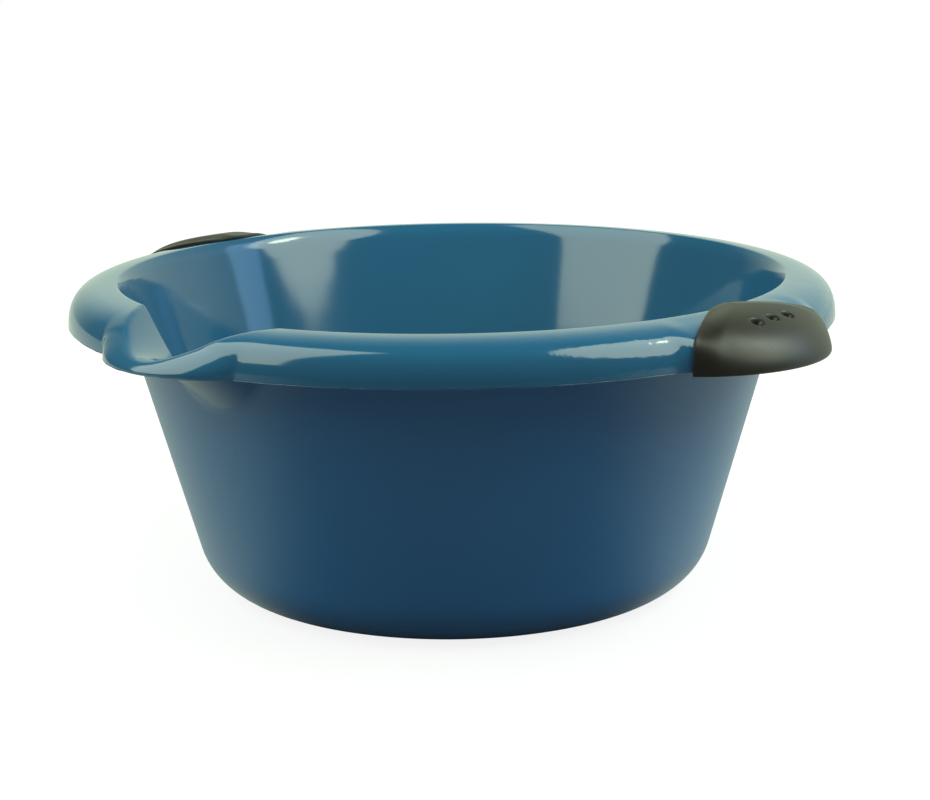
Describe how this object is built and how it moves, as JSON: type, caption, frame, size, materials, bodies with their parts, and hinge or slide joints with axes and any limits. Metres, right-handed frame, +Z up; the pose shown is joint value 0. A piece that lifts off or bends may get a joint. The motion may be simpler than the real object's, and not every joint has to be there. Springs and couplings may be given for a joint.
{
  "type": "washing up bowl",
  "caption": "Round tapered washing up bowl with a rolled rim, a pouring spout and a soft grip on each side.",
  "frame": {"origin": "middle of the underside of the base, on the surface that the bowl stands on", "axes": "+Z up through the bowl's axis, the spout points to -Y, the grips lie to +X and -X"},
  "size_m": [0.426, 0.3952, 0.161],
  "materials": {
    "bowl": "glossy slate blue inside and on the rim, satin outside",
    "grip": "soft matt grey moulded elastomer"
  },
  "bodies": {
    "root": {"bowl_shell": "bowl", "grip_right": "grip", "grip_left": "grip"}
  },
  "joints": []
}
